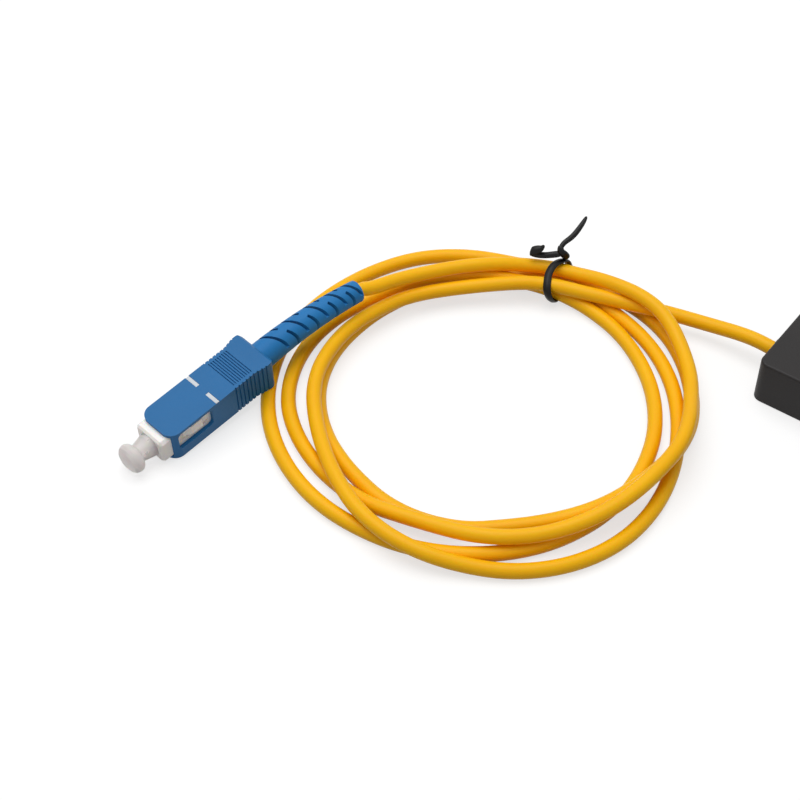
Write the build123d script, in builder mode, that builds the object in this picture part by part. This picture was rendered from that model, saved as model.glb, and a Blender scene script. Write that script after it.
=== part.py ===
# Fiber optic splitter: a slim black box, a 3 mm input cord wound in a tied coil, and a square
# push-pull plug with its dust cap.
# Millimetres. The origin is the centre of the box's underside, +X along its length and +Z up.
# The input cord leaves the end at -X, and the two outlets are at +X.
from build123d import *
import os
from math import atan2, cos, pi, radians, sin, tan

os.makedirs("parts", exist_ok=True)

# Box
box_length = 90.0
box_width = 20.0
box_height = 10.0
wall = 1.6
roof_t = 1.5
corner_r = 2.0
edge_r = 0.5
tray_h = 1.9  # how much of the box's height is the tray
floor_t = 1.4
rail_t = 1.0
rail_up = 1.3  # how far the tray's rails reach up inside the lid
rail_gap = 0.1
rail_end = 6.0  # from the end wall's inside to the rail's end
fit = 0.05  # clearance of a piece that drops into its seat

# Glands in the end walls, at half the box's height
gland_z = box_height / 2
gland_r = 2.0
flange_r = 2.9
flange_in_r = 2.5  # the flange inside the wall
flange_t = 0.8
flange_edge = 0.3
outlet_r = 1.6
outlet_side_gap = 1.2  # from the long wall's inside to an outlet's inner flange

# Splitter device and what holds it
device_x = 2.0  # middle of the steel tube
device_l = 54.0
device_r = 1.5
device_wall = 0.25
seal_l = 2.0
chip_l = 40.0
chip_r = 0.8
saddle_l = 6.0
saddle_w = 7.0
saddle_x = 16.0  # from the device's middle to each saddle
saddle_key = 0.6  # how high the tray's locating frame stands round a saddle
press_rib = 2.0
fibre_r = 0.45
fibre_apart = 0.6  # from the device's axis to each output fibre
fibre_short = 0.45  # how much of its shorter run a bend takes

# Input cord and its clamp in the box
cord_r = 1.5
clamp_r = 2.1
clamp_l = 6.0
clamp_room = 6.4  # from the end wall's inside to the clamp's middle
jacket_in = 2.0  # how far the cord's jacket reaches into the clamp
anchor_l = 3.0
anchor_w = 8.0

# Coil of the input cord: a ring, wider where its turns fan out than at the tie
coil_x, coil_y = -86.5, -43.0
coil_in_r = 31.2
coil_out_r = 43.3
coil_shift = 3.0  # how far the outer circle lies towards the front
coil_h = 7.2
coil_edge = 1.3
bed_gap = 0.4  # between the coil and the plug that lies on it
bed_side = 1.5  # more room beside the bent boot
bed_up = 12.0  # the bed is open upwards
tie_deg = 102.0  # where the tie goes round the coil

# Twist tie
tie_t = 0.7
tie_w = 1.7
tie_gap = 0.12

# Plug: its own frame starts at the middle of the grip's front face, +X running back to the boot
plug_x, plug_y = -128.7, -92.2
plug_z = 4.2
plug_yaw = 262.5  # the way that the nose points
plug_pitch = 6.8  # nose down
plug_roll = 5.0  # leaning on its key, the side by the coil down

grip_l = 26.5
grip_w = 9.0
grip_h = 7.4
grip_front_r = 2.4
flare_x = 21.9
flare_ramp = 2.4
flare_w = 10.0
flare_h = 7.6
flare_back_r = 1.2
cavity_w = 7.4
cavity_h = 6.1
groove_x = 17.1
groove_n = 10
groove_pitch = 0.57
groove_w = 0.24
groove_d = 0.25
groove_l = 7.4
rib_x = 16.8
rib_n = 9
rib_pitch = 0.95
rib_w = 0.32
rib_d = 0.2
key_x = 1.9
key_l = 6.5
key_w = 2.4
key_h = 0.5
mark_x = 12.2
mark_w = 0.9
mark_l = 3.2
mark_d = 0.2
window_x = 1.9
window_l = 8.6
window_low = -1.3  # its sill; its top is the underside of the top wall
grip_travel = 2.0

slide_gap = 0.06  # the grip's running clearance on the frame
frame_front = -1.8
frame_back = 15.6
frame_edge = 0.6
nose_r = 2.5  # the frame's open nose and the chamber behind its shoulder
shoulder_x = 7.4
shoulder_t = 1.2
shoulder_r = 1.75
latch_x = 4.0
latch_l = 4.6
latch_h = 2.3
latch_low = 0.1
slit_x = 2.9
slit_w = 0.7
slit_d = 0.6
latch_up = 0.6

ferrule_r = 1.25
ferrule_tip = -2.2
ferrule_end = 10.0
hub_x = 6.3
hub_r = 1.62
collar_gap = 0.1
collar_l = 1.6
collar_r = 2.35
tail_r = 1.0
tail_end = 13.6
ferrule_travel = 1.0
spring_wire = 0.2
spring_r = 1.7
spring_n = 4

stop_x = 13.4  # front face of the rear body, where the spring stands
stop_flange_x = 15.6
stop_flange_l = 1.4
stem_r = 2.0
stem_end = 22.6
stem_bore = 1.2

sleeve_x = 17.4
sleeve_neck_x = 23.4
sleeve_end = 27.0
sleeve_r = 2.4

boot_x = 18.6
boot_r = 2.95
boot_tip_r = 2.35
boot_end = 53.0
boot_wall_gap = 0.1
boot_neck_x = 27.4
bend_x = 41.0  # where the boot's two straight axes would cross
bend_deg = 8.4
slot_w = 0.62
slot_turn = 33.0  # the rows of slots are turned round the boot, towards the coil
slot_web = 0.9
slot_first = 30.4
slot_pitch = (5.7, 5.5, 5.1, 4.2)  # from one slot in the top to the next

cap_head_x = -7.9
cap_head_l = 2.8
cap_head_r = 3.1
cap_waist_r = 1.9
cap_neck_r = 1.95
cap_collar_x = -3.4  # where the neck widens to fill the frame's nose
cap_collar_end = -1.0
cap_in = 4.6  # how far the cap reaches into the nose
cap_gap = 0.06


def polar(deg, r, z):
    """A point on the coil, from the ring's centre."""
    return (coil_x + r * cos(radians(deg)), coil_y + r * sin(radians(deg)), z)


clamp_x = -box_length / 2 + wall + clamp_room

# The plug's frame
yaw, pitch, roll = radians(plug_yaw), radians(plug_pitch), radians(plug_roll)
nose = Vector(cos(yaw) * cos(pitch), sin(yaw) * cos(pitch), -sin(pitch))
level = Vector(-sin(yaw), cos(yaw), 0)
upright = Vector(cos(yaw) * sin(pitch), sin(yaw) * sin(pitch), cos(pitch))
plug_up = upright * cos(roll) + level * sin(roll)
plug = Plane(origin=(plug_x, plug_y, plug_z), x_dir=nose * -1, z_dir=plug_up)
section = Plane(origin=plug.origin, x_dir=plug.y_dir, z_dir=plug.x_dir)
side = Plane(origin=plug.origin, x_dir=plug.x_dir, z_dir=plug.y_dir * -1)


def at_plug(x, y=0.0, z=0.0):
    return Vector(*plug.origin) + plug.x_dir * x + plug.y_dir * y + plug.z_dir * z


# The boot's axis: straight, one gentle arc and straight again, down towards the coil
bend = radians(bend_deg)
bend_way = (plug.y_dir * -0.86 + plug.z_dir * -0.51).normalized()
boot_dir = plug.x_dir * cos(bend) + bend_way * sin(bend)

# Routes of the cord: the corners of its runs, from the box to the coil and from the plug to it
lead_route = [
    Vector(clamp_x - clamp_l / 2 + jacket_in, 0, gland_z),
    Vector(-box_length / 2 - 7.4, 0, gland_z),
    Vector(-66.0, -0.9, 2.8),
    Vector(-77.4, -4.9, 3.6),
]
tail_start = 24.8
tail_run = 24.6
tail_route = [
    at_plug(tail_start),
    at_plug(bend_x),
    at_plug(bend_x) + boot_dir * tail_run,
    Vector(-108.6, -16.6, 6.6),
]


def radii(route):
    """Each corner's radius: as large as its two runs allow."""
    found = []
    for a, b, c in zip(route, route[1:], route[2:]):
        turn = (b - a).get_angle(c - b)
        found.append(0.45 * min((b - a).length, (c - b).length) / tan(radians(turn) / 2))
    return found


boot_arc_r = radii(tail_route)[0]
boot_arc_x = bend_x - boot_arc_r * tan(bend / 2)


def boot_plane(x):
    """The plane across the boot's axis at the distance x from the grip's front."""
    if x <= boot_arc_x:
        return Plane(origin=at_plug(x), x_dir=plug.y_dir, z_dir=plug.x_dir)
    part = min((x - boot_arc_x) / boot_arc_r, bend)
    way = plug.x_dir * cos(part) + bend_way * sin(part)
    centre = (
        at_plug(boot_arc_x)
        + plug.x_dir * boot_arc_r * sin(part)
        + bend_way * boot_arc_r * (1 - cos(part))
        + way * max(0.0, x - boot_arc_x - boot_arc_r * bend)
    )
    across = (plug.y_dir - way * plug.y_dir.dot(way)).normalized()
    return Plane(origin=centre, x_dir=across, z_dir=way)


def boot_radius(x):
    share = max(0.0, (x - boot_neck_x) / (boot_end - boot_neck_x))
    return boot_r + (boot_tip_r - boot_r) * share


# Box
inner_l = box_length - 2 * wall
inner_w = box_width - 2 * wall
rail_y = inner_w / 2 - rail_gap - rail_t / 2
outlet_y = inner_w / 2 - flange_in_r - outlet_side_gap

# Tray: floor, short outer wall, two rails that centre the lid, and the seats for what it holds
with BuildPart() as box_tray:
    with BuildSketch():
        RectangleRounded(box_length, box_width, corner_r)
    extrude(amount=tray_h)
    fillet(box_tray.edges().group_by(Axis.Z)[0], edge_r * 0.6)
    with BuildSketch(Plane.XY.offset(tray_h)):
        Rectangle(inner_l, inner_w)
    extrude(amount=floor_t - tray_h, mode=Mode.SUBTRACT)
    with BuildSketch(Plane.XY.offset(floor_t)):
        with Locations((0, rail_y), (0, -rail_y)):
            Rectangle(inner_l - 2 * rail_end, rail_t)
    extrude(amount=tray_h + rail_up - floor_t)
    with BuildSketch(Plane.XY.offset(floor_t)):
        with Locations((device_x - saddle_x, 0), (device_x + saddle_x, 0)):
            Rectangle(saddle_l + 2 * (fit + rail_t), saddle_w + 2 * (fit + rail_t))
            Rectangle(saddle_l + 2 * fit, saddle_w + 2 * fit, mode=Mode.SUBTRACT)
    extrude(amount=saddle_key)
    with BuildSketch(Plane.XY.offset(floor_t)):
        with Locations((clamp_x, 0)):
            Rectangle(anchor_l, anchor_w)
    extrude(amount=gland_z + clamp_r * 0.5 - floor_t)
    with BuildSketch(Plane.YZ.offset(clamp_x - anchor_l / 2)):
        with Locations((0, gland_z)):
            Circle(clamp_r)
        with Locations((0, gland_z + clamp_r)):
            Rectangle(2 * clamp_r, 2 * clamp_r)
    extrude(amount=anchor_l, mode=Mode.SUBTRACT)
box_tray.part.label = "box_tray"
export_step(box_tray.part, "parts/box_tray.step")

# Lid: a deep cover with the gland holes, and ribs that hold the device down on its saddles
with BuildPart() as box_lid:
    with BuildSketch(Plane.XY.offset(tray_h)):
        RectangleRounded(box_length, box_width, corner_r)
    extrude(amount=box_height - tray_h)
    fillet(box_lid.edges().group_by(Axis.Z)[-1], edge_r)
    with BuildSketch(Plane.XY.offset(tray_h)):
        Rectangle(inner_l, inner_w)
    extrude(amount=box_height - roof_t - tray_h, mode=Mode.SUBTRACT)
    with BuildSketch(Plane.XY.offset(gland_z + device_r + fit)):
        with Locations((device_x - saddle_x, 0), (device_x + saddle_x, 0)):
            Rectangle(press_rib, inner_w)
    extrude(amount=box_height - roof_t - gland_z - device_r - fit)
    with BuildSketch(Plane.YZ.offset(-box_length / 2)):
        with Locations((0, gland_z)):
            Circle(gland_r)
    extrude(amount=wall, mode=Mode.SUBTRACT)
    with BuildSketch(Plane.YZ.offset(box_length / 2)):
        with Locations((outlet_y, gland_z), (-outlet_y, gland_z)):
            Circle(gland_r)
    extrude(amount=-wall, mode=Mode.SUBTRACT)
box_lid.part.label = "box_lid"
export_step(box_lid.part, "parts/box_lid.step")


def gland_line(bore):
    """Half outline of a rubber gland, a shank through the wall between two flanges."""
    return [
        (bore, -flange_t), (flange_r, -flange_t), (flange_r, 0), (gland_r, 0),
        (gland_r, wall), (flange_in_r, wall), (flange_in_r, wall + flange_t),
        (bore, wall + flange_t),
    ]


inlet_plane = Plane(origin=(-box_length / 2, 0, gland_z), x_dir=(0, 1, 0), z_dir=(0, 0, -1))
with BuildPart() as inlet_gland:
    with BuildSketch(inlet_plane):
        with BuildLine():
            Polyline(*gland_line(cord_r), close=True)
        make_face()
    revolve(axis=Axis((-box_length / 2, 0, gland_z), (1, 0, 0)))
    rims = inlet_gland.edges().filter_by(GeomType.CIRCLE).group_by(Axis.X)[0]
    chamfer(rims.sort_by(SortBy.RADIUS)[-1], flange_edge)
inlet_gland.part.label = "inlet_gland"
export_step(inlet_gland.part, "parts/inlet_gland.step")

for outlet_name, outlet_at in (("outlet_gland_left", outlet_y), ("outlet_gland_right", -outlet_y)):
    outlet_plane = Plane(origin=(box_length / 2, outlet_at, gland_z), x_dir=(0, 1, 0), z_dir=(0, 0, 1))
    with BuildPart() as outlet_gland:
        with BuildSketch(outlet_plane):
            with BuildLine():
                Polyline(*gland_line(outlet_r), close=True)
            make_face()
        revolve(axis=Axis((box_length / 2, outlet_at, gland_z), (1, 0, 0)))
        rims = outlet_gland.edges().filter_by(GeomType.CIRCLE).group_by(Axis.X)[-1]
        chamfer(rims.sort_by(SortBy.RADIUS)[-1], flange_edge)
    outlet_gland.part.label = outlet_name
    export_step(outlet_gland.part, "parts/" + outlet_name + ".step")

# Clamp: the ring that is crimped on the cord's jacket and lies in the tray's anchor
with BuildPart() as cord_clamp:
    with BuildSketch(Plane.YZ.offset(clamp_x - clamp_l / 2)):
        with Locations((0, gland_z)):
            Circle(clamp_r - fit)
            Circle(cord_r, mode=Mode.SUBTRACT)
    extrude(amount=clamp_l)
    chamfer(cord_clamp.edges().filter_by(GeomType.CIRCLE).sort_by(SortBy.RADIUS)[-2:], 0.2)
cord_clamp.part.label = "cord_clamp"
export_step(cord_clamp.part, "parts/cord_clamp.step")

# Splitter device: a steel tube, the fused glass element in it and the seal at each end
with BuildPart() as device_tube:
    with BuildSketch(Plane.YZ.offset(device_x - device_l / 2)):
        with Locations((0, gland_z)):
            Circle(device_r)
            Circle(device_r - device_wall, mode=Mode.SUBTRACT)
    extrude(amount=device_l)
device_tube.part.label = "device_tube"
export_step(device_tube.part, "parts/device_tube.step")

for seal_name, seal_way in (("seal_input", -1), ("seal_output", 1)):
    seal_face = device_x + seal_way * device_l / 2
    with BuildPart() as seal:
        with BuildSketch(Plane.YZ.offset(seal_face)):
            with Locations((0, gland_z)):
                Circle(device_r - device_wall)
        extrude(amount=-seal_way * seal_l)
    seal.part.label = seal_name
    export_step(seal.part, "parts/" + seal_name + ".step")

with BuildPart() as splitter_element:
    with BuildSketch(Plane.YZ.offset(device_x - device_l / 2 + seal_l)):
        with Locations((0, gland_z)):
            Circle(chip_r)
    extrude(amount=device_l - 2 * seal_l)
splitter_element.part.label = "splitter_element"
export_step(splitter_element.part, "parts/splitter_element.step")

# Saddles: two rubber blocks with a half-round seat for the tube
for saddle_name, saddle_way in (("saddle_input", -1), ("saddle_output", 1)):
    saddle_mid = device_x + saddle_way * saddle_x
    with BuildPart() as saddle:
        with BuildSketch(Plane.XY.offset(floor_t)):
            with Locations((saddle_mid, 0)):
                Rectangle(saddle_l, saddle_w)
        extrude(amount=gland_z - floor_t)
        with BuildSketch(Plane.YZ.offset(saddle_mid - saddle_l / 2)):
            with Locations((0, gland_z)):
                Circle(device_r)
        extrude(amount=saddle_l, mode=Mode.SUBTRACT)
    saddle.part.label = saddle_name
    export_step(saddle.part, "parts/" + saddle_name + ".step")

# Fibres inside the box, 0.9 mm over the buffer
fibre_in_x = lead_route[0].X
with BuildPart() as fibre_input:
    with BuildSketch(Plane.YZ.offset(fibre_in_x)):
        with Locations((0, gland_z)):
            Circle(fibre_r)
    extrude(amount=device_x - device_l / 2 - fibre_in_x)
fibre_input.part.label = "fibre_input"
export_step(fibre_input.part, "parts/fibre_input.step")

fibre_start = device_x + device_l / 2
fibre_stop = box_length / 2 - wall - flange_t
fibre_third = (fibre_stop - fibre_start) / 4
fibre_turn = atan2(outlet_y - fibre_apart, fibre_stop - fibre_start - 2 * fibre_third)
fibre_r_bend = fibre_short * fibre_third / tan(fibre_turn / 2)
for fibre_name, fibre_way in (("fibre_output_left", 1), ("fibre_output_right", -1)):
    near, far = fibre_way * fibre_apart, fibre_way * outlet_y
    with BuildPart() as fibre_out:
        with BuildLine() as fibre_line:
            FilletPolyline(
                (fibre_start, near, gland_z),
                (fibre_start + fibre_third, near, gland_z),
                (fibre_stop - fibre_third, far, gland_z),
                (fibre_stop, far, gland_z),
                radius=fibre_r_bend,
            )
        with BuildSketch(Plane(origin=(fibre_start, near, gland_z), z_dir=(1, 0, 0))):
            Circle(fibre_r)
        sweep(path=fibre_line.line)
    fibre_out.part.label = fibre_name
    export_step(fibre_out.part, "parts/" + fibre_name + ".step")

# Coil
coil_front = (coil_x + coil_shift * cos(radians(tie_deg + 180)),
              coil_y + coil_shift * sin(radians(tie_deg + 180)))
tie_in_r = coil_in_r
tie_out_r = coil_out_r - coil_shift
tie_mid_r = (tie_in_r + tie_out_r) / 2
tie_span = tie_out_r - tie_in_r
round_way = Vector(-sin(radians(tie_deg)), cos(radians(tie_deg)), 0)
tie_plane = Plane(
    origin=polar(tie_deg, tie_mid_r, coil_h / 2),
    x_dir=(cos(radians(tie_deg)), sin(radians(tie_deg)), 0),
    z_dir=round_way * -1,
)
neck_depth = tie_t + tie_gap

# Coil of four turns as one ring, with a neck under the tie and a bed under the plug
with BuildPart() as cord_coil:
    with BuildSketch():
        with Locations(coil_front):
            Circle(coil_out_r)
        with Locations((coil_x, coil_y)):
            Circle(coil_in_r, mode=Mode.SUBTRACT)
    extrude(amount=coil_h)
    chamfer(cord_coil.edges().filter_by(GeomType.CIRCLE), coil_edge)
    with BuildSketch(tie_plane.offset(-tie_w / 2 - tie_gap)):
        Rectangle(tie_span + 6, coil_h + 6)
        RectangleRounded(tie_span - 2 * neck_depth, coil_h - 2 * neck_depth, 1.2,
                         mode=Mode.SUBTRACT)
    extrude(amount=tie_w + 2 * tie_gap, mode=Mode.SUBTRACT)
    with BuildSketch(section.offset(-4)):
        with Locations((0, bed_up / 2 - flare_h / 2 - bed_gap)):
            Rectangle(flare_w + 2 * bed_gap, bed_up)
    extrude(amount=4 + grip_l + grip_travel + 0.5, mode=Mode.SUBTRACT)
    with BuildSketch(section.offset(grip_l)):
        with Locations((-bed_side + bed_gap, bed_up / 2 - boot_r - 1.5 * bed_gap)):
            Rectangle(2 * (boot_r + bed_side), bed_up)
    extrude(amount=boot_end - grip_l + 2, mode=Mode.SUBTRACT)
cord_coil.part.label = "cord_coil"
export_step(cord_coil.part, "parts/cord_coil.step")


def report_tube(name, route, path, solid):
    """Prints a route's radii and how its tube's volume compares with section x length."""
    share = solid.volume / (pi * cord_r**2 * path.length)
    print(name, "radii", [round(r, 1) for r in radii(route)], "length", round(path.length, 1),
          "volume / section x length", round(share, 4))


# Lead: from the clamp in the box through the gland to the coil
with BuildPart() as cord_lead:
    with BuildLine() as lead_line:
        FilletPolyline(*lead_route, radius=radii(lead_route))
    with BuildSketch(Plane(origin=lead_line.line @ 0, z_dir=lead_line.line % 0)):
        Circle(cord_r)
    sweep(path=lead_line.line)
cord_lead.part.label = "cord_lead"
export_step(cord_lead.part, "parts/cord_lead.step")
report_tube("lead", lead_route, lead_line.wire(), cord_lead.part)

# Tail: from the plug's crimp sleeve through the boot and down on the coil
with BuildPart() as cord_tail:
    with BuildLine() as tail_line:
        FilletPolyline(*tail_route, radius=radii(tail_route))
    with BuildSketch(Plane(origin=tail_line.line @ 0, z_dir=tail_line.line % 0)):
        Circle(cord_r)
    sweep(path=tail_line.line)
cord_tail.part.label = "cord_tail"
export_step(cord_tail.part, "parts/cord_tail.step")
report_tube("tail", tail_route, tail_line.wire(), cord_tail.part)

# Twist tie: a flat loop in the coil's neck, a twisted stem and two bent tails
loop_w = tie_span - 2 * neck_depth + 2 * tie_gap + 2 * tie_t
loop_h = coil_h - 2 * neck_depth + 2 * tie_gap + 2 * tie_t
stem_u = loop_w / 2 - 2.2
stem_v = loop_h / 2
with BuildPart() as twist_tie:
    with BuildSketch(tie_plane.offset(-tie_w / 2)):
        RectangleRounded(loop_w, loop_h, 1.2 + tie_gap + tie_t)
        RectangleRounded(loop_w - 2 * tie_t, loop_h - 2 * tie_t, 1.2 + tie_gap,
                         mode=Mode.SUBTRACT)
    extrude(amount=tie_w)
    stem_base = tie_plane.origin + tie_plane.x_dir * stem_u + tie_plane.y_dir * (stem_v - 0.3)
    for stem_step in range(4):
        turn = radians(50 * stem_step)
        with BuildSketch(Plane(
            origin=stem_base + tie_plane.y_dir * (0.9 * stem_step),
            x_dir=tie_plane.x_dir * cos(turn) + tie_plane.z_dir * sin(turn),
            z_dir=tie_plane.y_dir,
        )):
            RectangleRounded(2.1, 1.3, 0.5)
    loft()
    with BuildSketch(tie_plane.offset(-tie_w / 2)):
        with BuildLine() as right_tail:
            Spline(
                (stem_u, stem_v + 1.9), (stem_u + 1.2, stem_v + 3.6),
                (stem_u + 4.0, stem_v + 4.4), (stem_u + 7.6, stem_v + 6.2),
            )
        trace(line_width=tie_t)
    extrude(amount=tie_w)
    curl_plane = Plane(
        origin=tie_plane.origin + tie_plane.x_dir * (stem_u - tie_w / 2),
        x_dir=round_way, z_dir=tie_plane.x_dir,
    )
    with BuildSketch(curl_plane):
        with BuildLine() as left_tail:
            Spline(
                (0.0, stem_v + 1.0), (2.2, stem_v + 0.5), (4.8, stem_v + 1.0),
                (5.6, stem_v + 2.2), (4.6, stem_v + 3.1), (3.4, stem_v + 2.7),
            )
        trace(line_width=tie_t)
    extrude(amount=tie_w)
twist_tie.part.label = "twist_tie"
export_step(twist_tie.part, "parts/twist_tie.step")

# Plug

# Grip: the sliding outer sleeve, with ribbed sides, grooved faces, a flare, side windows and a key
with BuildPart() as plug_grip:
    with BuildSketch(plug.offset(-flare_h / 2)):
        with BuildLine():
            half = grip_w / 2
            Polyline(
                (0, 0), (0, half), (flare_x, half), (flare_x + flare_ramp, flare_w / 2),
                (grip_l, flare_w / 2), (grip_l, 0), close=True,
            )
        make_face()
        mirror(about=Plane.XZ)
    extrude(amount=flare_h)
    corners = plug_grip.edges().filter_by(Axis(plug.origin, plug.z_dir))
    fillet(corners.group_by(Axis(plug.origin, plug.x_dir))[0], grip_front_r)
    corners = plug_grip.edges().filter_by(Axis(plug.origin, plug.z_dir))
    fillet(corners.group_by(Axis(plug.origin, plug.x_dir))[-1], flare_back_r)
    with BuildSketch(side.offset(-flare_w)):
        with BuildLine():
            Polyline(
                (-1, grip_h / 2), (flare_x, grip_h / 2), (flare_x + flare_ramp, flare_h / 2),
                (grip_l - 0.6, flare_h / 2), (grip_l, flare_h / 2 - 0.6),
                (grip_l, -flare_h / 2 + 0.6), (grip_l - 0.6, -flare_h / 2),
                (flare_x + flare_ramp, -flare_h / 2), (flare_x, -grip_h / 2), (-1, -grip_h / 2),
                close=True,
            )
        make_face()
    extrude(amount=2 * flare_w, mode=Mode.INTERSECT)
    for face_z, way in ((grip_h / 2, -1), (-grip_h / 2, 1)):
        with BuildSketch(plug.offset(face_z)):
            for groove in range(groove_n):
                with Locations((groove_x + groove * groove_pitch, 0)):
                    Rectangle(groove_w, groove_l)
        extrude(amount=way * groove_d, mode=Mode.SUBTRACT)
    with BuildSketch(plug.offset(-flare_h / 2)):
        for rib in range(rib_n):
            along = rib_x + rib * rib_pitch
            share = min(max((along - flare_x) / flare_ramp, 0), 1)
            out = grip_w / 2 + share * (flare_w - grip_w) / 2
            with Locations((along, out), (along, -out)):
                Rectangle(rib_w, 2 * rib_d)
    extrude(amount=flare_h, mode=Mode.SUBTRACT)
    with BuildSketch(plug.offset(grip_h / 2)):
        with Locations((mark_x, grip_w / 2 - mark_l / 2), (mark_x, -grip_w / 2 + mark_l / 2)):
            Rectangle(mark_w, mark_l)
    extrude(amount=-mark_d, mode=Mode.SUBTRACT)
    with BuildSketch(plug.offset(-grip_h / 2)):
        with Locations((key_x + key_l / 2, 0)):
            Rectangle(key_l, key_w)
    extrude(amount=-key_h)
    with BuildSketch(section.offset(-1)):
        Rectangle(cavity_w, cavity_h)
    extrude(amount=grip_l + 2, mode=Mode.SUBTRACT)
    with BuildSketch(side.offset(-grip_w)):
        with Locations((window_x + window_l / 2, (cavity_h / 2 + window_low) / 2)):
            RectangleRounded(window_l, cavity_h / 2 - window_low, 0.9)
    extrude(amount=2 * grip_w, mode=Mode.SUBTRACT)
plug_grip.part.label = "plug_grip"
export_step(plug_grip.part, "parts/plug_grip.step")

# Frame: the white inner housing that holds the ferrule, with a latch ramp in each side window
frame_w = cavity_w - 2 * slide_gap
frame_h = cavity_h - 2 * slide_gap
with BuildPart() as plug_frame:
    with BuildSketch(section.offset(frame_front)):
        Rectangle(frame_w, frame_h)
    extrude(amount=frame_back - frame_front)
    long_edges = plug_frame.edges().filter_by(Axis(plug.origin, plug.x_dir))
    chamfer(long_edges, frame_edge)
    chamfer(plug_frame.faces().sort_by(Axis(plug.origin, plug.x_dir))[0].edges(), 0.4)
    for way in (-1, 1):
        with BuildSketch(plug.offset(latch_low)):
            with BuildLine():
                Polyline(
                    (latch_x, way * (frame_w / 2 - 0.1)),
                    (latch_x + 1.4, way * (frame_w / 2 + latch_up)),
                    (latch_x + latch_l - 0.6, way * (frame_w / 2 + latch_up)),
                    (latch_x + latch_l, way * (frame_w / 2 - 0.1)),
                    close=True,
                )
            make_face()
        extrude(amount=latch_h)
        with BuildSketch(plug.offset(latch_low - slit_w)):
            with Locations((slit_x + (latch_x + latch_l + 1 - slit_x) / 2, way * frame_w / 2)):
                Rectangle(latch_x + latch_l + 1 - slit_x, 2 * slit_d)
        extrude(amount=slit_w, mode=Mode.SUBTRACT)
        with BuildSketch(plug.offset(latch_low - slit_w)):
            with Locations((slit_x + slit_w / 2, way * frame_w / 2)):
                Rectangle(slit_w, 2 * slit_d)
        extrude(amount=slit_w + latch_h, mode=Mode.SUBTRACT)
    with BuildSketch(section.offset(frame_front)):
        Circle(nose_r)
    extrude(amount=shoulder_x - frame_front, mode=Mode.SUBTRACT)
    with BuildSketch(section.offset(shoulder_x)):
        Circle(shoulder_r)
    extrude(amount=shoulder_t, mode=Mode.SUBTRACT)
    with BuildSketch(section.offset(shoulder_x + shoulder_t)):
        Circle(nose_r)
    extrude(amount=frame_back - shoulder_x - shoulder_t, mode=Mode.SUBTRACT)
plug_frame.part.label = "plug_frame"
export_step(plug_frame.part, "parts/plug_frame.step")

# Ferrule and the holder that it is pressed into
turning = Axis(plug.origin, plug.x_dir)
collar_x = shoulder_x + shoulder_t + collar_gap
with BuildPart() as ferrule:
    with BuildSketch(section.offset(ferrule_tip)):
        Circle(ferrule_r)
    extrude(amount=ferrule_end - ferrule_tip)
    chamfer(ferrule.faces().sort_by(turning)[0].edges(), 0.25)
ferrule.part.label = "ferrule"
export_step(ferrule.part, "parts/ferrule.step")

with BuildPart() as ferrule_holder:
    with BuildSketch(plug):
        with BuildLine():
            Polyline(
                (hub_x, ferrule_r), (hub_x, hub_r), (collar_x, hub_r), (collar_x, collar_r),
                (collar_x + collar_l, collar_r), (collar_x + collar_l, tail_r),
                (tail_end, tail_r), (tail_end, fibre_r), (ferrule_end, fibre_r),
                (ferrule_end, ferrule_r), close=True,
            )
        make_face()
    revolve(axis=turning)
ferrule_holder.part.label = "ferrule_holder"
export_step(ferrule_holder.part, "parts/ferrule_holder.step")

# Spring between the holder's collar and the rear body
spring_x = collar_x + collar_l
spring_l = stop_x - spring_x - 2 * spring_wire - 0.04
spring_plane = section.offset(spring_x + spring_wire + 0.02)
with BuildPart() as ferrule_spring:
    with BuildLine() as spring_line:
        Helix(
            pitch=spring_l / spring_n, height=spring_l, radius=spring_r,
            center=spring_plane.origin, direction=spring_plane.z_dir,
        )
    with BuildSketch(Plane(origin=spring_line.line @ 0, z_dir=spring_line.line % 0)):
        RegularPolygon(spring_wire, 8)
    sweep(path=spring_line.line, is_frenet=True)
ferrule_spring.part.label = "ferrule_spring"
export_step(ferrule_spring.part, "parts/ferrule_spring.step")

# Rear body: a plug in the frame's back, a square flange and the stem for the crimp
with BuildPart() as rear_body:
    with BuildSketch(section.offset(stop_x)):
        Circle(nose_r - fit)
    extrude(amount=stop_flange_x - stop_x)
    with BuildSketch(section.offset(stop_flange_x)):
        Rectangle(frame_w, frame_h)
    extrude(amount=stop_flange_l)
    with BuildSketch(section.offset(stop_flange_x + stop_flange_l)):
        Circle(stem_r)
    extrude(amount=stem_end - stop_flange_x - stop_flange_l)
    with BuildSketch(section.offset(stop_x)):
        Circle(stem_bore)
    extrude(amount=stem_end - stop_x, mode=Mode.SUBTRACT)
rear_body.part.label = "rear_body"
export_step(rear_body.part, "parts/rear_body.step")

# Crimp sleeve: wide on the stem, drawn down on the cord's jacket
with BuildPart() as crimp_sleeve:
    with BuildSketch(plug):
        with BuildLine():
            Polyline(
                (sleeve_x, stem_r), (sleeve_x, sleeve_r), (sleeve_neck_x, sleeve_r),
                (sleeve_neck_x + 1.0, cord_r + 0.4), (sleeve_end, cord_r + 0.4),
                (sleeve_end, cord_r), (sleeve_neck_x + 1.0, cord_r), (sleeve_neck_x, stem_r),
                close=True,
            )
        make_face()
    revolve(axis=turning)
crimp_sleeve.part.label = "crimp_sleeve"
export_step(crimp_sleeve.part, "parts/crimp_sleeve.step")

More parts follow.
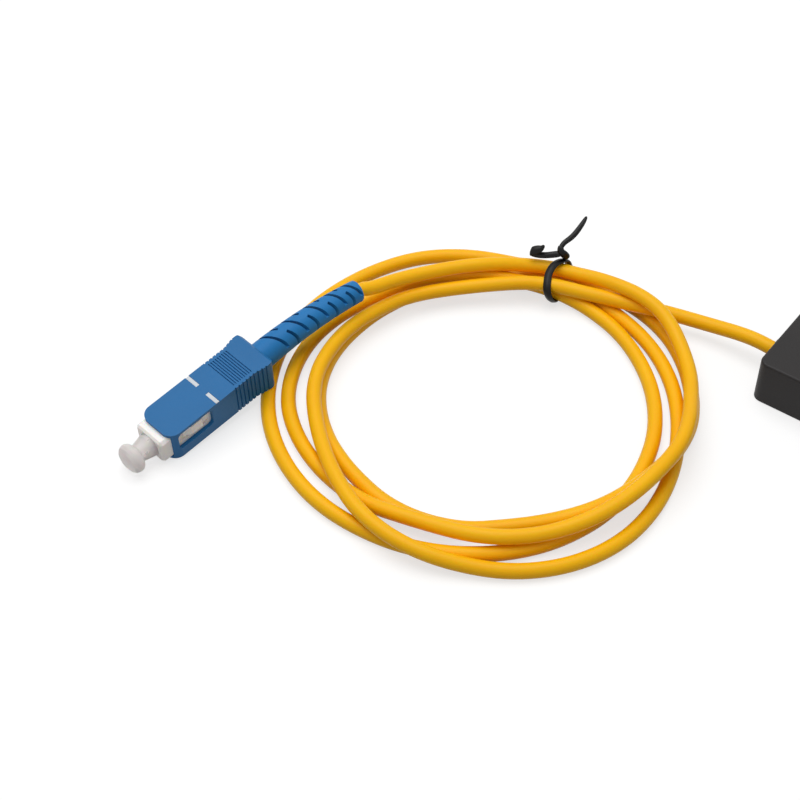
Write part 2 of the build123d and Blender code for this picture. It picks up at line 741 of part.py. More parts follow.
# Boot: a bent, tapering sleeve with slots cut in turn from its top and bottom and from its sides
boot_bore = cord_r + boot_wall_gap
with BuildPart() as boot:
    with BuildSketch(boot_plane(boot_x)):
        Circle(boot_r)
    extrude(amount=boot_neck_x - boot_x)
    stations = 4
    for station in range(stations):
        station_x = boot_neck_x + (boot_end - boot_neck_x) * station / (stations - 1)
        with BuildSketch(boot_plane(station_x)):
            Circle(boot_radius(station_x))
    loft()
    fillet(boot.faces().sort_by(Axis(at_plug(boot_x), boot_dir))[-1].edges(), 0.4)
    with BuildSketch(boot_plane(boot_x)):
        Circle(sleeve_r + fit)
    extrude(amount=boot_neck_x - boot_x, mode=Mode.SUBTRACT)
    with BuildLine() as boot_line:
        FilletPolyline(
            at_plug(boot_neck_x - 1), at_plug(bend_x),
            at_plug(bend_x) + boot_dir * (boot_end + 2 - bend_x), radius=boot_arc_r,
        )
    with BuildSketch(boot_plane(boot_neck_x - 1)):
        Circle(boot_bore)
    sweep(path=boot_line.line, mode=Mode.SUBTRACT)
    slot_x = slot_first
    slots = [(slot_x, True)]
    for step in slot_pitch:
        slots += [(slot_x + step / 2, False), (slot_x + step, True)]
        slot_x += step
    for slot_at, in_top in slots:
        across = boot_r - slot_web
        with BuildSketch(boot_plane(slot_at - slot_w / 2).rotated((0, 0, slot_turn))):
            for way in (-1, 1):
                middle = way * (slot_web + across / 2 + 0.5)
                with Locations((0, middle) if in_top else (middle, 0)):
                    if in_top:
                        Rectangle(3 * boot_r, across + 1.0)
                    else:
                        Rectangle(across + 1.0, 3 * boot_r)
        extrude(amount=slot_w, mode=Mode.SUBTRACT)
boot.part.label = "boot"
export_step(boot.part, "parts/boot.step")

# Dust cap: a knob with a tube that slips over the ferrule
with BuildPart() as dust_cap:
    with BuildSketch(plug):
        with BuildLine():
            head_back = cap_head_x + cap_head_l
            Polyline(
                (cap_head_x, 0), (cap_head_x, cap_head_r - 1.5),
                (cap_head_x + 0.3, cap_head_r - 0.7), (cap_head_x + 0.8, cap_head_r - 0.2),
                (cap_head_x + 1.4, cap_head_r), (head_back - 0.8, cap_head_r),
                (head_back - 0.2, cap_head_r - 0.4), (head_back, cap_head_r - 0.9),
                (head_back + 0.3, cap_waist_r), (cap_collar_x, cap_waist_r + 0.3),
                (cap_collar_x + 0.9, nose_r - cap_gap), (cap_collar_end, nose_r - cap_gap),
                (cap_collar_end, cap_neck_r), (cap_in, cap_neck_r),
                (cap_in, ferrule_r + cap_gap),
                (ferrule_tip - 0.4, ferrule_r + cap_gap), (ferrule_tip - 0.4, 0), close=True,
            )
        make_face()
    revolve(axis=turning)
dust_cap.part.label = "dust_cap"
export_step(dust_cap.part, "parts/dust_cap.step")
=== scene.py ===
"""Looks of a fiber optic splitter: module box, coiled input cord, twist tie and push-pull plug."""

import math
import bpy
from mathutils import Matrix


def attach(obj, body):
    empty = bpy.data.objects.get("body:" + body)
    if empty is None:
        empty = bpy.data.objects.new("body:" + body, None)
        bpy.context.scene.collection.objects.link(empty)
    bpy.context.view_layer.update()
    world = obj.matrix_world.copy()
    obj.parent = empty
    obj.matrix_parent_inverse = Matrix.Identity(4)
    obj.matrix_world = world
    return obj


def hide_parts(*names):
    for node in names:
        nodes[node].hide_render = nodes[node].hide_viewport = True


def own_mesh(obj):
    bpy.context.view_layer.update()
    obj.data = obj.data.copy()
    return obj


bl_info = {
    "name": "Fiber Optic Splitter",
    "version": (1, 0, 0),
    "blender": (4, 5, 0),
    "location": "View3D > Sidebar > Splitter",
    "description": "Builds the cord, the tie, the plug's marks, the finishes and the stage",
    "category": "Add Mesh",
}

import bmesh
import bpy
from mathutils import Matrix, Vector

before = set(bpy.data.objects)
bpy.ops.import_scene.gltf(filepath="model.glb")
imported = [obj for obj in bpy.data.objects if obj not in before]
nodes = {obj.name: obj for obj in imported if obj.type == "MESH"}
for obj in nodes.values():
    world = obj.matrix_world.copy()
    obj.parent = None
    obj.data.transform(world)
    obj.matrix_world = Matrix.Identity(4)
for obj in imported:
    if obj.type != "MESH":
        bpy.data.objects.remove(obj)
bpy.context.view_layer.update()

MM = 0.001

# Camera: its place in metres, its heading and downward pitch, and the picture's shift in pixels
PHOTO_SIDE = 800
PHOTO_SHIFT = (9.6, 1.3)
CAMERA_AT = (0.03929, -0.2405, 0.23773)
CAMERA_HEADING, CAMERA_PITCH = (-0.603, 0.798), 45.5
SENSOR_WIDTH = 36.0

# Lamp, over the object, in metres
LAMP_AT, LAMP_AIM, LAMP_SIZE = (-0.22, -0.02, 0.62), (-0.08, -0.04, 0.0), 0.6

# Coil: centre of the ring on the surface that it lies on, in millimetres
COIL_X, COIL_Y = -86.5, -43.0

# Lead, from the clamp in the box to the coil's neck: x, y, z
LEAD = [
    (-38.0, 0.0, 5.0), (-45.0, 0.0, 5.0), (-49.5, 0.3, 5.2), (-54.0, 0.3, 4.8),
    (-60.5, -0.1, 3.8), (-66.3, -1.3, 3.7), (-70.6, -3.1, 4.3),
]

# Turns, from the box's end of the cord to the plug's: degrees round the coil, radius, height
TURNS = [
    (74, 39.5, 4.6), (81, 37.0, 4.6), (89, 34.8, 4.7), (96, 33.7, 4.8), (103, 32.9, 4.8),
    (110, 31.7, 4.9), (118, 30.6, 4.7), (126, 29.9, 4.5), (134, 29.8, 4.2), (142, 29.9, 4.1),
    (150, 30.3, 4.1), (160, 30.8, 4.2), (170, 31.0, 4.3), (180, 31.6, 4.5), (190, 32.2, 4.5),
    (200, 32.8, 4.5), (210, 33.5, 4.5), (220, 33.9, 4.5), (230, 34.2, 4.4), (240, 35.0, 4.4),
    (250, 36.4, 4.5), (260, 38.3, 4.5), (270, 40.7, 4.5), (280, 42.7, 4.5), (290, 43.6, 3.6),
    (300, 43.6, 2.1), (310, 44.3, 1.5), (320, 44.8, 1.5), (330, 44.7, 1.5), (340, 44.0, 1.5),
    (350, 42.7, 1.5), (360, 41.2, 1.5), (370, 39.8, 1.5), (380, 38.7, 1.5), (391, 38.0, 1.5),
    (402, 37.7, 1.5), (413, 37.5, 1.5), (424, 37.4, 1.5), (436, 37.3, 1.5), (449, 37.4, 1.8),
    (463, 37.5, 2.3), (470, 37.1, 1.8), (478, 36.4, 1.5), (486, 35.5, 1.5), (494, 34.5, 1.5),
    (502, 33.8, 1.5), (511, 33.5, 1.5), (520, 33.1, 1.5), (530, 32.8, 1.5), (540, 32.6, 1.5),
    (551, 32.8, 1.5), (562, 33.0, 1.5), (574, 33.1, 1.5), (586, 33.0, 1.5), (598, 32.9, 1.5),
    (610, 32.9, 1.5), (620, 33.2, 1.5), (630, 34.0, 1.5), (640, 34.5, 1.5), (650, 34.7, 1.5),
    (660, 34.6, 1.5), (670, 34.1, 1.8), (680, 35.1, 3.0), (690, 36.5, 4.3), (700, 37.2, 4.5),
    (710, 37.6, 4.4), (720, 38.3, 4.4), (730, 39.7, 4.6), (740, 40.4, 4.1), (750, 40.8, 2.5),
    (760, 41.2, 1.6), (770, 41.7, 1.5), (780, 42.1, 1.5), (790, 42.1, 1.5), (800, 41.5, 1.5),
    (812, 40.7, 1.8), (823, 40.4, 2.2), (830, 40.3, 2.0), (838, 41.2, 1.6), (846, 42.4, 1.5),
    (854, 43.3, 1.5), (862, 43.9, 1.5), (870, 44.0, 1.5), (880, 43.8, 1.5), (890, 43.6, 1.5),
    (900, 43.6, 1.5), (911, 43.6, 1.5), (922, 43.4, 1.5), (934, 43.2, 1.5), (946, 43.1, 1.5),
    (958, 42.9, 1.5), (970, 42.7, 1.5), (981, 42.4, 1.5), (992, 41.9, 1.5), (1003, 41.6, 1.5),
    (1014, 41.0, 1.5), (1024, 40.3, 1.5), (1033, 39.7, 1.5), (1042, 39.0, 1.5), (1051, 38.1, 1.5),
    (1060, 37.3, 1.5), (1070, 36.4, 1.5), (1080, 35.4, 1.5), (1090, 34.6, 1.5), (1100, 34.1, 1.5),
    (1112, 33.6, 1.5), (1125, 33.4, 1.5), (1139, 33.5, 1.5), (1152, 34.0, 1.5), (1164, 34.3, 1.6),
    (1173, 34.5, 1.9), (1183, 34.6, 2.3), (1190, 34.2, 2.8), (1198, 33.8, 3.6), (1206, 33.8, 4.3),
    (1214, 33.6, 4.4), (1222, 33.8, 4.5), (1230, 34.0, 4.4), (1240, 35.6, 3.2), (1250, 37.0, 1.8),
    (1260, 37.9, 1.5), (1270, 38.5, 1.5), (1280, 38.9, 1.5), (1290, 39.1, 1.5), (1300, 39.1, 1.5),
    (1310, 38.5, 1.5), (1320, 37.9, 1.5), (1330, 37.3, 1.5), (1340, 36.8, 1.6), (1350, 36.8, 2.5),
    (1360, 36.6, 3.5), (1370, 36.8, 3.8), (1380, 37.9, 4.2), (1390, 38.8, 4.5), (1400, 39.1, 4.6),
    (1410, 39.5, 5.4), (1420, 39.8, 6.4), (1430, 39.7, 7.0), (1440, 39.9, 7.4), (1450, 40.4, 7.6),
    (1460, 40.2, 7.0), (1470, 40.1, 5.4), (1480, 40.8, 4.7), (1490, 41.2, 4.8), (1499, 41.5, 6.0),
    (1506, 41.1, 7.2), (1513, 40.1, 7.6), (1520, 39.2, 7.2), (1528, 38.8, 6.2), (1536, 38.3, 5.3),
    (1543, 38.1, 5.1), (1551, 36.8, 5.4), (1559, 34.8, 6.5), (1567, 33.4, 7.2), (1577, 32.9, 7.2),
    (1588, 32.7, 7.3), (1599, 32.8, 7.9), (1611, 33.2, 8.8),
]

# Plug: its frame starts at the middle of the grip's front face, +X running back to the boot.
# Millimetres and degrees.
PLUG_AT = (-128.7, -92.2, 4.2)
PLUG_YAW, PLUG_PITCH, PLUG_ROLL = 262.5, 6.8, 5.0
GRIP_HALF_WIDTH, GRIP_TOP = 4.5, 3.7
MARK_X, MARK_WIDTH, MARK_LENGTH, MARK_DEPTH = 12.2, 0.9, 3.2, 0.2
BOOT_BEND_X, BOOT_BEND, BOOT_BEND_WAY = 41.0, 8.4, (0.0, -0.86, -0.51)
CORD_PAST_BEND, CORD_IN_PLUG = (13.0, 6.0, 0.0), (35.0, 24.8)

# Twist tie: its loop stands across the coil's neck at these degrees. The loop's stations are
# radius, height and distance along the coil, and the strip's section has a wire's ridge.
TIE_DEGREES = 103.0
TIE_LOOP = [
    (37.6, 7.5, -1.2), (36.6, 7.5, -0.8), (35.2, 7.3, -0.5), (33.8, 6.8, -0.5),
    (32.2, 6.2, -0.9), (31.0, 5.4, -1.3), (30.6, 4.4, -1.7), (30.8, 3.2, -2.1),
    (31.6, 1.9, -2.4), (32.8, 1.0, -2.5), (34.4, 0.6, -2.6), (37.4, 0.5, -2.7),
    (40.4, 0.5, -2.7), (41.8, 1.0, -2.6), (42.3, 2.2, -2.6), (41.7, 3.7, -2.6),
    (40.7, 5.1, -2.6), (40.1, 6.1, -2.6), (39.7, 6.8, -2.4), (39.1, 7.2, -2.1),
    (38.4, 7.4, -1.7),
]
STRIP_SECTION = [
    (-0.5, 0.2), (-0.22, 0.34), (0.0, 0.5), (0.22, 0.34), (0.5, 0.2),
    (0.5, -0.2), (0.22, -0.34), (0.0, -0.5), (-0.22, -0.34), (-0.5, -0.2),
]


def rgb(red, green, blue):
    """A screen colour as the linear numbers that a shader takes."""
    return tuple(
        c / 12.92 if c <= 0.04045 else ((c + 0.055) / 1.055) ** 2.4
        for c in (red / 255, green / 255, blue / 255)
    )


def on_coil(degrees, radius, height):
    """A point by its place round the coil, in metres."""
    turn = math.radians(degrees)
    return MM * Vector((
        COIL_X + radius * math.cos(turn), COIL_Y + radius * math.sin(turn), height
    ))


def plug_frame():
    """The plug's own frame as a matrix in metres."""
    yaw, pitch, roll = (math.radians(a) for a in (PLUG_YAW, PLUG_PITCH, PLUG_ROLL))
    nose = Vector((
        math.cos(yaw) * math.cos(pitch), math.sin(yaw) * math.cos(pitch), -math.sin(pitch)
    ))
    level = Vector((-math.sin(yaw), math.cos(yaw), 0.0))
    upright = Vector((
        math.cos(yaw) * math.sin(pitch), math.sin(yaw) * math.sin(pitch), math.cos(pitch)
    ))
    up = upright * math.cos(roll) + level * math.sin(roll)
    back = -nose
    turn = Matrix((back, up.cross(back), up)).transposed().to_4x4()
    return Matrix.Translation(MM * Vector(PLUG_AT)) @ turn


def at_plug(x, y=0.0, z=0.0):
    """A point given in the plug's frame, in millimetres there and metres here."""
    return plug_frame() @ (MM * Vector((x, y, z)))


class CordSettings(bpy.types.PropertyGroup):
    diameter: bpy.props.FloatProperty(
        name="Diameter", description="Outside diameter of the cord's jacket",
        default=0.003, min=0.002, max=0.004, subtype="DISTANCE", unit="LENGTH",
    )
    jacket: bpy.props.FloatVectorProperty(
        name="Jacket", description="Colour of the cord's jacket",
        default=rgb(255, 190, 4), min=0.0, max=1.0, size=3, subtype="COLOR",
    )


class TieSettings(bpy.types.PropertyGroup):
    width: bpy.props.FloatProperty(
        name="Width", description="Width of the tie's flat strip",
        default=0.0017, min=0.001, max=0.003, subtype="DISTANCE", unit="LENGTH",
    )
    thickness: bpy.props.FloatProperty(
        name="Thickness", description="Thickness of the strip over its wire",
        default=0.0009, min=0.0004, max=0.0015, subtype="DISTANCE", unit="LENGTH",
    )


class PlugSettings(bpy.types.PropertyGroup):
    blue: bpy.props.FloatVectorProperty(
        name="Grip and boot", description="Colour of the plug's grip and boot",
        default=rgb(30, 106, 164), min=0.0, max=1.0, size=3, subtype="COLOR",
    )
    marks: bpy.props.FloatVectorProperty(
        name="Marks", description="Colour of the two bars printed across the grip",
        default=rgb(214, 220, 226), min=0.0, max=1.0, size=3, subtype="COLOR",
    )


class StageSettings(bpy.types.PropertyGroup):
    lens: bpy.props.FloatProperty(
        name="Lens", description="Focal length of the camera on a 36 mm sensor",
        default=75.4, min=20.0, max=200.0, subtype="DISTANCE_CAMERA", unit="CAMERA",
    )
    key_power: bpy.props.FloatProperty(
        name="Key light", description="Power of the large soft light",
        default=3.0, min=0.0, max=20.0, unit="POWER",
    )
    sky: bpy.props.FloatProperty(
        name="Sky", description="Strength of the even light from all round",
        default=0.4, min=0.0, max=2.0, subtype="FACTOR",
    )


class Value:
    """A shader socket with Python's arithmetic: each expression adds its Math nodes."""

    def __init__(self, finish, socket):
        self.finish, self.socket = finish, socket

    def math(self, operation, *terms):
        return self.finish.node("ShaderNodeMath", {"operation": operation},
                                dict(enumerate(terms)))

    def __add__(self, other):
        return self.math("ADD", self, other)

    def __mul__(self, other):
        return self.math("MULTIPLY", self, other)

    __radd__, __rmul__ = __add__, __mul__


class Finish:
    """A surface finish being put together on one principled shader."""

    def __init__(self, name, **constants):
        self.material = bpy.data.materials.new(name)
        self.material.use_nodes = True
        self.tree = self.material.node_tree
        self.shader = self.tree.nodes["Principled BSDF"]
        for socket, value in constants.items():
            self.feed(self.shader.inputs[socket.replace("_", " ")], value)
        self.place = Value(self, self.tree.nodes.new("ShaderNodeTexCoord").outputs["Object"])

    def feed(self, socket, value):
        if isinstance(value, Value):
            self.tree.links.new(value.socket, socket)
        elif socket.type == "RGBA" and len(value) == 3:
            socket.default_value = (*value, 1.0)
        else:
            socket.default_value = value

    def node(self, kind, settings, sockets, output=0):
        made = self.tree.nodes.new(kind)
        for name, value in settings.items():
            setattr(made, name, value)
        for name, value in sockets.items():
            self.feed(made.inputs[name], value)
        return Value(self, made.outputs[output])

    def noise(self, scale, detail=2.0, roughness=0.5):
        return self.node("ShaderNodeTexNoise", {}, {
            "Vector": self.place, "Scale": scale, "Detail": detail, "Roughness": roughness,
        })

    def ramp(self, value, low, high):
        """The value carried from low...high to 0...1 and held there."""
        return self.node("ShaderNodeMapRange", {"interpolation_type": "SMOOTHSTEP"}, {
            "Value": value, "From Min": low, "From Max": high,
        })

    def mix(self, share, first, second):
        return self.node("ShaderNodeMix", {"data_type": "RGBA"}, {
            "Factor": share, 6: first, 7: second,
        }, output=2)

    def colour(self, value):
        self.feed(self.shader.inputs["Base Color"], value)

    def roughness(self, value):
        self.feed(self.shader.inputs["Roughness"], value)

    def bump(self, height, depth):
        """Relief of the height's pattern, depth metres from its 0 to its 1."""
        relief = self.node("ShaderNodeBump", {}, {
            "Height": height, "Distance": depth, "Strength": 1.0,
        })
        self.feed(self.shader.inputs["Normal"], relief)


def moulded(name, colour, roughness, shade=0.9, grain=2600.0, depth=0.000012, **constants):
    """Moulded plastic or rubber: a fine grain, faint clouding and uneven gloss."""
    made = Finish(name, **constants)
    clouds = made.ramp(made.noise(90.0, 3.0), 0.3, 0.7)
    made.colour(made.mix(clouds, tuple(c * shade for c in colour), colour))
    fine = made.noise(grain, 3.0, 0.6)
    made.roughness(made.ramp(fine, 0.2, 0.8) * 0.12 + (roughness - 0.06))
    made.bump(fine, depth)
    return made.material


def dress(material, *names):
    """Gives CAD nodes their finish on their own material slots."""
    for name in names:
        slots = nodes[name].material_slots
        if slots:
            for one in slots:
                one.material = material
        else:
            nodes[name].data.materials.append(material)


def deselect():
    if bpy.context.mode != "OBJECT":
        bpy.ops.object.mode_set(mode="OBJECT")
    bpy.ops.object.select_all(action="DESELECT")


def strip(name, stations, width, thickness, closed=False):
    """A flat strip over a wire, through stations of point, width direction and share of width."""
    mesh = bpy.data.meshes.new(name)
    shape = bmesh.new()
    rings = []
    count = len(stations)
    for index, (point, across, scale) in enumerate(stations):
        before = stations[index - 1][0] if index or closed else point
        after = stations[(index + 1) % count][0] if index + 1 < count or closed else point
        along = (after - before).normalized()
        out = along.cross(across).normalized()
        side = out.cross(along).normalized()
        rings.append([
            shape.verts.new(point + side * (u * width * scale) + out * (v * thickness))
            for u, v in STRIP_SECTION
        ])
    pairs = list(zip(rings, rings[1:])) + ([(rings[-1], rings[0])] if closed else [])
    for first, second in pairs:
        for i in range(len(STRIP_SECTION)):
            j = (i + 1) % len(STRIP_SECTION)
            shape.faces.new((first[i], first[j], second[j], second[i]))
    if not closed:
        shape.faces.new(rings[0])
        shape.faces.new(list(reversed(rings[-1])))
    bmesh.ops.recalc_face_normals(shape, faces=shape.faces)
    shape.to_mesh(mesh)
    shape.free()
    piece = bpy.data.objects.new(name, mesh)
    bpy.context.scene.collection.objects.link(piece)
    deselect()
    piece.select_set(True)
    bpy.context.view_layer.objects.active = piece
    smooth = piece.modifiers.new("Smooth", "SUBSURF")
    smooth.levels = smooth.render_levels = 2
    bpy.ops.object.modifier_apply(modifier=smooth.name)
    bpy.ops.object.shade_smooth()
    return piece


class SPLITTER_OT_camera(bpy.types.Operator):
    """Set the camera at the photograph's viewing angle"""

    bl_idname = "splitter.camera"
    bl_label = "Camera"

    def execute(self, context):
        data = bpy.data.cameras.new("Camera")
        data.sensor_fit = "HORIZONTAL"
        data.sensor_width = SENSOR_WIDTH
        data.lens = context.scene.splitter_stage.lens
        data.shift_x, data.shift_y = (pixels / PHOTO_SIDE for pixels in PHOTO_SHIFT)
        data.clip_start, data.clip_end = 0.01, 20.0
        camera = bpy.data.objects.new("Camera", data)
        context.scene.collection.objects.link(camera)
        pitch = math.radians(CAMERA_PITCH)
        ahead = Vector((*(part * math.cos(pitch) for part in CAMERA_HEADING), -math.sin(pitch)))
        camera.location = CAMERA_AT
        camera.rotation_euler = ahead.to_track_quat("-Z", "Y").to_euler()
        context.scene.camera = camera
        return {"FINISHED"}


class SPLITTER_OT_input_cord(bpy.types.Operator):
    """Lay the yellow input cord from the box through its coil to the plug"""

    bl_idname = "splitter.input_cord"
    bl_label = "Input cord"

    def route(self):
        points = [MM * Vector(point) for point in LEAD]
        for degrees, radius, height in TURNS:
            points.append(on_coil(degrees, radius, height))
        plug = plug_frame().to_3x3()
        away = (plug @ Vector(BOOT_BEND_WAY)).normalized()
        bend = math.radians(BOOT_BEND)
        boot = (plug @ Vector((1.0, 0.0, 0.0))) * math.cos(bend) + away * math.sin(bend)
        turn = at_plug(BOOT_BEND_X)
        points += [turn + boot * MM * past for past in CORD_PAST_BEND]
        points += [at_plug(x) for x in CORD_IN_PLUG]
        return points

    def execute(self, context):
        settings = context.scene.splitter_cord
        points = self.route()
        data = bpy.data.curves.new("input_cord", "CURVE")
        data.dimensions = "3D"
        data.bevel_depth = settings.diameter / 2
        data.bevel_resolution = 5
        data.resolution_u = 5
        data.use_fill_caps = True
        line = data.splines.new("NURBS")
        line.points.add(len(points) - 1)
        for spot, point in zip(line.points, points):
            spot.co = (*point, 1.0)
        line.order_u = 3
        line.use_endpoint_u = True
        cord = bpy.data.objects.new("input_cord", data)
        context.scene.collection.objects.link(cord)

        jacket = Finish("Cord jacket", Specular_IOR_Level=0.2, Subsurface_Weight=0.12,
                        Subsurface_Scale=0.0006)
        base = tuple(settings.jacket)
        clouds = jacket.ramp(jacket.noise(55.0, 3.0), 0.3, 0.7)
        jacket.colour(jacket.mix(clouds, (base[0] * 0.96, base[1] * 0.93, base[2] * 0.8), base))
        fine = jacket.noise(1500.0, 3.0, 0.6)
        jacket.roughness(fine * 0.12 + 0.36)
        jacket.bump(fine, 0.000012)
        data.materials.append(jacket.material)

        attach(cord, "splitter")
        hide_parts("cord_lead", "cord_coil", "cord_tail")
        return {"FINISHED"}


class SPLITTER_OT_twist_tie(bpy.types.Operator):
    """Wrap the black twist tie round the coil's neck"""

    bl_idname = "splitter.twist_tie"
    bl_label = "Twist tie"

    def execute(self, context):
        settings = context.scene.splitter_tie
        turn = math.radians(TIE_DEGREES)
        outward = Vector((math.cos(turn), math.sin(turn), 0.0))
        along = Vector((-math.sin(turn), math.cos(turn), 0.0))
        up = Vector((0.0, 0.0, 1.0))
        black = moulded("Tie plastic", rgb(6, 5, 5), 0.34, grain=1800.0, depth=0.00002,
                         Specular_IOR_Level=0.22)

        def neck(radius, height, aside):
            """A point by the neck: its radius and height, and its distance along the coil."""
            return on_coil(TIE_DEGREES, radius, height) + along * (MM * aside)

        wrap = strip(
            "twist_tie_wrap", [(neck(*spot), along, 1.0) for spot in TIE_LOOP],
            settings.width, settings.thickness, closed=True,
        )
        knot = strip("twist_tie_knot", [
            (neck(39.4, 7.7, -2.6), up - along, 0.9), (neck(39.1, 8.5, -2.3), up - along, 1.1),
            (neck(38.8, 9.1, -1.8), up - along, 1.2), (neck(38.7, 9.5, -1.3), up - along, 1.1),
            (neck(39.1, 10.0, -1.0), up - along, 0.9), (neck(39.6, 10.4, -1.0), up - along, 0.7),
        ], settings.width, settings.thickness * 1.8)
        broad = -(along * 2.0 + up)
        long_tail = strip("twist_tie_long_tail", [
            (neck(38.9, 9.6, -1.0), outward - along, 0.6),
            (neck(39.8, 10.2, -1.0), outward - along, 0.65),
            (neck(40.9, 10.6, -1.4), outward - along * 2.0, 0.7),
            (neck(41.9, 10.9, -2.1), broad, 0.72), (neck(43.2, 11.4, -2.7), broad, 0.75),
            (neck(44.8, 12.0, -3.1), broad, 0.7), (neck(46.6, 12.5, -3.4), broad, 0.6),
            (neck(48.0, 12.9, -3.5), broad, 0.35),
        ], settings.width, settings.thickness * 0.75)
        face = up + outward
        short_tail = strip("twist_tie_short_tail", [
            (neck(38.6, 9.2, -1.6), face, 0.9), (neck(38.2, 8.7, 0.0), face, 0.85),
            (neck(37.7, 8.2, 1.8), face, 0.8), (neck(37.4, 8.1, 3.3), face, 0.85),
            (neck(37.1, 8.4, 4.4), face, 0.85), (neck(36.8, 8.9, 4.8), face, 1.0),
            (neck(36.8, 9.4, 4.3), face, 1.1), (neck(37.1, 9.7, 3.4), face, 1.1),
            (neck(37.4, 9.9, 2.8), face, 1.0), (neck(37.7, 10.2, 2.4), face, 0.6),
            (neck(38.0, 10.7, 2.2), face, 0.35),
        ], settings.width, settings.thickness * 0.75)
        for piece in (wrap, knot, long_tail, short_tail):
            piece.data.materials.append(black)
            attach(piece, "splitter")
            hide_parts("twist_tie")
        return {"FINISHED"}


class SPLITTER_OT_grip_marks(bpy.types.Operator):
    """Lay the two pale bars in the recesses across the grip"""

    bl_idname = "splitter.grip_marks"
    bl_label = "Grip marks"

    def execute(self, context):
        paint = moulded("Mark paint", tuple(context.scene.splitter_plug.marks), 0.55,
                        shade=0.84, grain=1400.0, depth=0.00003)
        length = MARK_LENGTH - 0.12
        for name, way in (("mark_left", 1.0), ("mark_right", -1.0)):
            deselect()
            bpy.ops.mesh.primitive_cube_add(size=1.0)
            bar = context.active_object
            bar.name = bar.data.name = name
            bar.scale = (MM * (MARK_WIDTH - 0.06), MM * length, MM * (MARK_DEPTH - 0.03))
            bpy.ops.object.transform_apply(location=False, rotation=False, scale=True)
            bpy.ops.object.mode_set(mode="EDIT")
            bpy.ops.mesh.select_all(action="SELECT")
            bpy.ops.mesh.bevel(offset=MM * 0.05, segments=2, affect="EDGES")
            bpy.ops.object.mode_set(mode="OBJECT")
            centre = (MARK_X, way * (GRIP_HALF_WIDTH - 0.1 - length / 2),
                      GRIP_TOP - MARK_DEPTH / 2 - 0.015)
            bar.data.transform(plug_frame() @ Matrix.Translation(MM * Vector(centre)))
            bar.data.materials.append(paint)
            bpy.ops.object.shade_smooth_by_angle(angle=math.radians(30))
            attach(bar, "grip")
        return {"FINISHED"}


class SPLITTER_OT_spring(bpy.types.Operator):
    """Give the ferrule's spring its own copy of its mesh"""

    bl_idname = "splitter.spring"
    bl_label = "Ferrule spring"

    def execute(self, context):
        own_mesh(nodes["ferrule_spring"])
        return {"FINISHED"}


class SPLITTER_OT_finishes(bpy.types.Operator):
    """Give the box, the plug and their inner parts their finishes"""

    bl_idname = "splitter.finishes"
    bl_label = "Finishes"

    def execute(self, context):
        blue = tuple(context.scene.splitter_plug.blue)
        dress(moulded("Box plastic", rgb(28, 25, 25), 0.5, shade=0.85, grain=3000.0,
                      depth=0.00003, Specular_IOR_Level=0.3), "box_tray", "box_lid")
        dress(moulded("Gland rubber", rgb(30, 30, 31), 0.62), "inlet_gland",
              "outlet_gland_left", "outlet_gland_right", "saddle_input", "saddle_output")
        dress(moulded("Grip plastic", blue, 0.42, shade=0.94, Specular_IOR_Level=0.2),
              "plug_grip")
        dress(moulded("Boot rubber", tuple(c * 1.3 for c in blue), 0.5, shade=0.92,
                      depth=0.00002, Specular_IOR_Level=0.2), "boot")
        dress(moulded("Frame plastic", rgb(255, 250, 244), 0.4, shade=0.97,
                      Subsurface_Weight=0.2, Subsurface_Scale=0.001), "plug_frame", "rear_body")
        dress(moulded("Cap plastic", rgb(246, 240, 238), 0.32, shade=0.97, grain=400.0,
                      depth=0.000004, Transmission_Weight=0.45, IOR=1.45,
                      Subsurface_Weight=0.3, Subsurface_Scale=0.002), "dust_cap")
        dress(moulded("Clamp plastic", rgb(52, 52, 54), 0.45), "cord_clamp")
        dress(moulded("Ferrule ceramic", rgb(240, 238, 232), 0.18, shade=0.98,
                      depth=0.000002), "ferrule")
        dress(moulded("Nickel", rgb(190, 186, 178), 0.3, depth=0.000006, Metallic=1.0),
              "ferrule_holder")
        dress(moulded("Spring steel", rgb(150, 148, 145), 0.34, depth=0.000006, Metallic=1.0),
              "ferrule_spring")
        dress(moulded("Crimp metal", rgb(198, 196, 190), 0.32, depth=0.00001, Metallic=1.0),
              "crimp_sleeve")
        dress(moulded("Tube steel", rgb(172, 172, 172), 0.28, depth=0.000008, Metallic=1.0),
              "device_tube")
        dress(moulded("Seal silicone", rgb(214, 214, 208), 0.4), "seal_input", "seal_output")
        dress(moulded("Element glass", rgb(236, 244, 246), 0.08, shade=0.98, depth=0.000002,
                      Transmission_Weight=0.9, IOR=1.46), "splitter_element")
        dress(moulded("Fibre buffer", rgb(232, 232, 226), 0.42), "fibre_input",
              "fibre_output_left", "fibre_output_right")
        return {"FINISHED"}


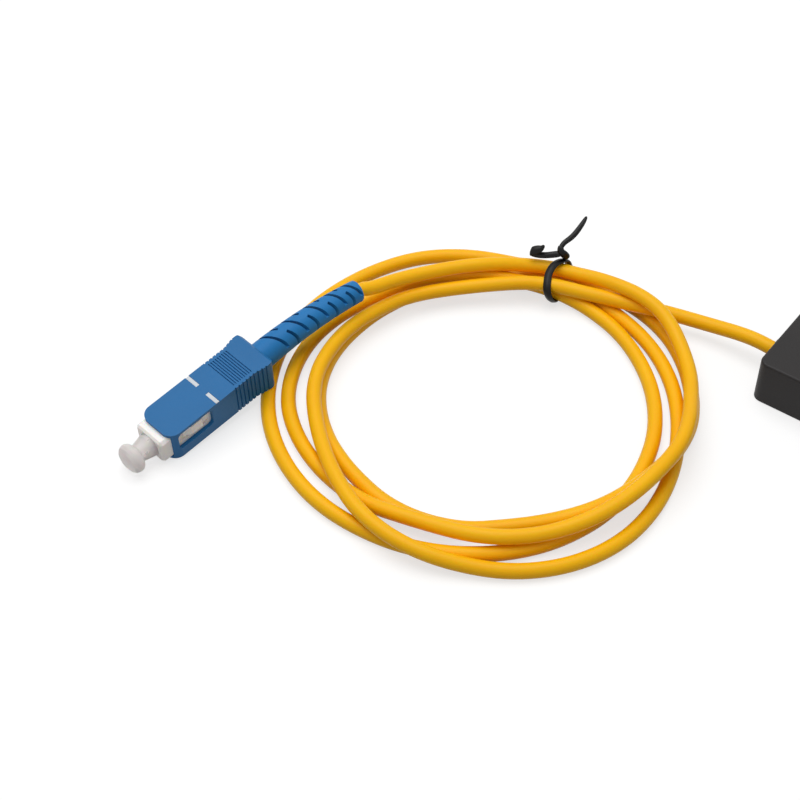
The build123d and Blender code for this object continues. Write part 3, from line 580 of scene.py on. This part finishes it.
class SPLITTER_OT_stage(bpy.types.Operator):
    """Set the pale floor, the soft light and the white surroundings"""

    bl_idname = "splitter.stage"
    bl_label = "Stage"

    def lamp(self, context, power):
        data = bpy.data.lights.new("key", "AREA")
        data.shape = "RECTANGLE"
        data.size = data.size_y = LAMP_SIZE
        data.energy = power
        lamp = bpy.data.objects.new("key", data)
        context.scene.collection.objects.link(lamp)
        lamp.location = LAMP_AT
        way = Vector(LAMP_AIM) - Vector(LAMP_AT)
        lamp.rotation_euler = way.to_track_quat("-Z", "Y").to_euler()

    def execute(self, context):
        settings = context.scene.splitter_stage
        context.scene.view_settings.view_transform = "Standard"

        world = bpy.data.worlds.new("Surroundings")
        world.use_nodes = True
        tree = world.node_tree
        background = tree.nodes["Background"]
        background.inputs["Color"].default_value = (1.0, 1.0, 1.0, 1.0)
        rays = tree.nodes.new("ShaderNodeLightPath")
        seen = tree.nodes.new("ShaderNodeMapRange")
        seen.inputs["To Min"].default_value = settings.sky
        seen.inputs["To Max"].default_value = 1.0
        total = rays.outputs["Is Camera Ray"]
        for other in ("Is Glossy Ray", "Is Transmission Ray"):
            add = tree.nodes.new("ShaderNodeMath")
            add.use_clamp = True
            tree.links.new(total, add.inputs[0])
            tree.links.new(rays.outputs[other], add.inputs[1])
            total = add.outputs[0]
        tree.links.new(total, seen.inputs["Value"])
        tree.links.new(seen.outputs[0], background.inputs["Strength"])
        context.scene.world = world

        deselect()
        bpy.ops.mesh.primitive_plane_add(size=6.0)
        floor = context.active_object
        floor.name = floor.data.name = "floor"
        pale = Finish("Pale floor", Base_Color=(0.38, 0.38, 0.38), Roughness=0.9,
                      Specular_IOR_Level=0.1)
        rays = pale.tree.nodes.new("ShaderNodeLightPath")
        seen = Value(pale, rays.outputs["Is Camera Ray"]) + Value(
            pale, rays.outputs["Is Glossy Ray"]) + Value(pale, rays.outputs["Is Transmission Ray"])
        glow = pale.mix(seen, (0.0, 0.0, 0.0), (0.67, 0.67, 0.67))
        pale.feed(pale.shader.inputs["Emission Color"], glow)
        pale.shader.inputs["Emission Strength"].default_value = 1.0
        floor.data.materials.append(pale.material)

        self.lamp(context, settings.key_power)
        return {"FINISHED"}


class SPLITTER_PT_panel(bpy.types.Panel):
    """The splitter's sizes and colours, and a button for each step"""

    bl_idname = "SPLITTER_PT_panel"
    bl_label = "Fiber Optic Splitter"
    bl_space_type = "VIEW_3D"
    bl_region_type = "UI"
    bl_category = "Splitter"

    def draw(self, context):
        scene = context.scene
        layout = self.layout
        for group, names in (
            (scene.splitter_cord, ("diameter", "jacket")),
            (scene.splitter_tie, ("width", "thickness")),
            (scene.splitter_plug, ("blue", "marks")),
            (scene.splitter_stage, ("lens", "key_power", "sky")),
        ):
            for name in names:
                layout.prop(group, name)
        for operator in OPERATORS:
            layout.operator(operator.bl_idname)


GROUPS = {
    "splitter_cord": CordSettings,
    "splitter_tie": TieSettings,
    "splitter_plug": PlugSettings,
    "splitter_stage": StageSettings,
}
OPERATORS = [
    SPLITTER_OT_camera, SPLITTER_OT_twist_tie, SPLITTER_OT_grip_marks,
    SPLITTER_OT_input_cord, SPLITTER_OT_spring, SPLITTER_OT_finishes, SPLITTER_OT_stage,
]
CLASSES = [*GROUPS.values(), *OPERATORS, SPLITTER_PT_panel]


def register():
    for one in CLASSES:
        bpy.utils.register_class(one)
    for name, group in GROUPS.items():
        setattr(bpy.types.Scene, name, bpy.props.PointerProperty(type=group))


def unregister():
    for name in GROUPS:
        delattr(bpy.types.Scene, name)
    for one in reversed(CLASSES):
        bpy.utils.unregister_class(one)


def main():
    register()
    bpy.ops.splitter.camera()
    bpy.ops.splitter.twist_tie()
    bpy.ops.splitter.grip_marks()
    bpy.ops.splitter.input_cord()
    bpy.ops.splitter.spring()
    bpy.ops.splitter.finishes()
    bpy.ops.splitter.stage()


if __name__ == "__main__":
    main()
